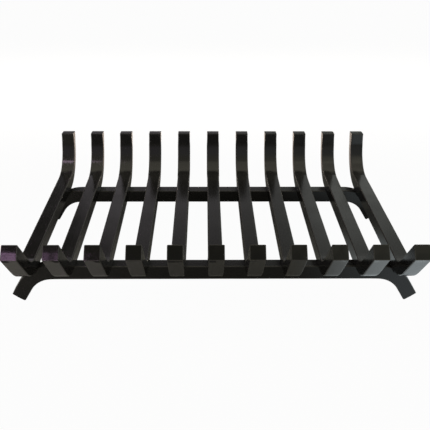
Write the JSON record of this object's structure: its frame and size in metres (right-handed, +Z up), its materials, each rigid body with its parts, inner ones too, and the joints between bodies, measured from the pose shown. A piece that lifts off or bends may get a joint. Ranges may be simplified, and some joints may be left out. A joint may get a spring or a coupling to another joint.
{
  "type": "log grate",
  "caption": "Welded steel log grate: square bars bent up at both ends to cradle logs, on cross rails bent down into splayed legs",
  "frame": {"origin": "on the floor under the middle of the grate's outer box", "axes": "+Z up; +X along the rails, to the right as seen from the front; +Y from the low front ends of the bars to their high rear ends"},
  "size_m": [0.5602, 0.4498, 0.132],
  "materials": {
    "bar_paint": "semi-gloss black paint on rolled square bar, warm where it catches the light",
    "rail_paint": "semi-gloss black paint on rolled square bar",
    "weld_paint": "black paint over rippled weld beads"
  },
  "bodies": {
    "root": {"bar_01": "bar_paint", "bar_02": "bar_paint", "bar_03": "bar_paint", "bar_04": "bar_paint", "bar_05": "bar_paint", "bar_06": "bar_paint", "bar_07": "bar_paint", "bar_08": "bar_paint", "bar_09": "bar_paint", "bar_10": "bar_paint", "bar_11": "bar_paint", "front_rail": "rail_paint", "rear_rail": "rail_paint", "bar_01_welds": "weld_paint", "bar_02_welds": "weld_paint", "bar_03_welds": "weld_paint", "bar_04_welds": "weld_paint", "bar_05_welds": "weld_paint", "bar_06_welds": "weld_paint", "bar_07_welds": "weld_paint", "bar_08_welds": "weld_paint", "bar_09_welds": "weld_paint", "bar_10_welds": "weld_paint", "bar_11_welds": "weld_paint"}
  },
  "joints": []
}
